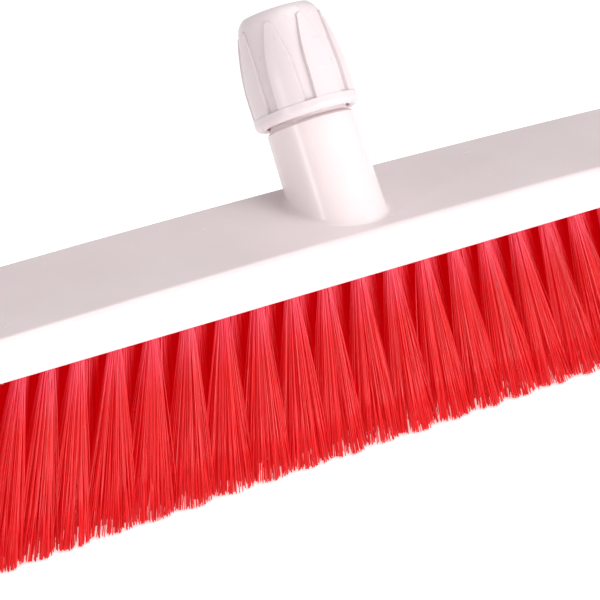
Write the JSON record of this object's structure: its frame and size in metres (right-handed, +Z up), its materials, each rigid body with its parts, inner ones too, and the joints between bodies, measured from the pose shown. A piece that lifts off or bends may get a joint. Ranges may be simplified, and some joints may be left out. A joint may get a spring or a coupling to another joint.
{
  "type": "push broom head",
  "caption": "Push broom head: arched plastic block with a leaning screw-lock handle socket and flared red bristle tufts; handle not included.",
  "frame": {"origin": "on the plane of the bristle tips, under the middle of the block", "axes": "+X along the block, +Y the way the handle leans, +Z up"},
  "size_m": [0.4364, 0.0926, 0.1488],
  "materials": {
    "block_plastic": "smooth moulded polypropylene, soft gloss",
    "collar_plastic": "smooth moulded nylon, soft gloss",
    "sleeve_plastic": "natural moulded acetal",
    "bristle": "extruded polyester filament",
    "anchor_wire": "galvanised flat wire"
  },
  "bodies": {
    "broom_head": {"broom_block": "block_plastic", "socket_tube": "block_plastic", "front_tuft_row": "bristle", "second_tuft_row": "bristle", "third_tuft_row": "bristle", "middle_tuft_row": "bristle", "fifth_tuft_row": "bristle", "sixth_tuft_row": "bristle", "rear_tuft_row": "bristle", "front_row_anchors": "anchor_wire", "second_row_anchors": "anchor_wire", "third_row_anchors": "anchor_wire", "middle_row_anchors": "anchor_wire", "fifth_row_anchors": "anchor_wire", "sixth_row_anchors": "anchor_wire", "rear_row_anchors": "anchor_wire"},
    "sleeve": {"grip_sleeve": "sleeve_plastic"},
    "collar": {"locking_collar": "collar_plastic"}
  },
  "joints": [
    {"name": "sleeve_slide", "type": "slide", "parent": "broom_head", "child": "sleeve", "axis": [0, 0.515, 0.8572], "range_m": [0, 0.006]},
    {"name": "collar_turn", "type": "hinge", "parent": "sleeve", "child": "collar", "pos_m": [0, 0.02771, 0.12392], "axis": [0, 0.515, 0.8572], "range_deg": [0, 540]}
  ],
  "couplings": [
    {"joint": "sleeve_slide", "follows": "collar_turn", "m_per_rad": 0.00063662}
  ]
}
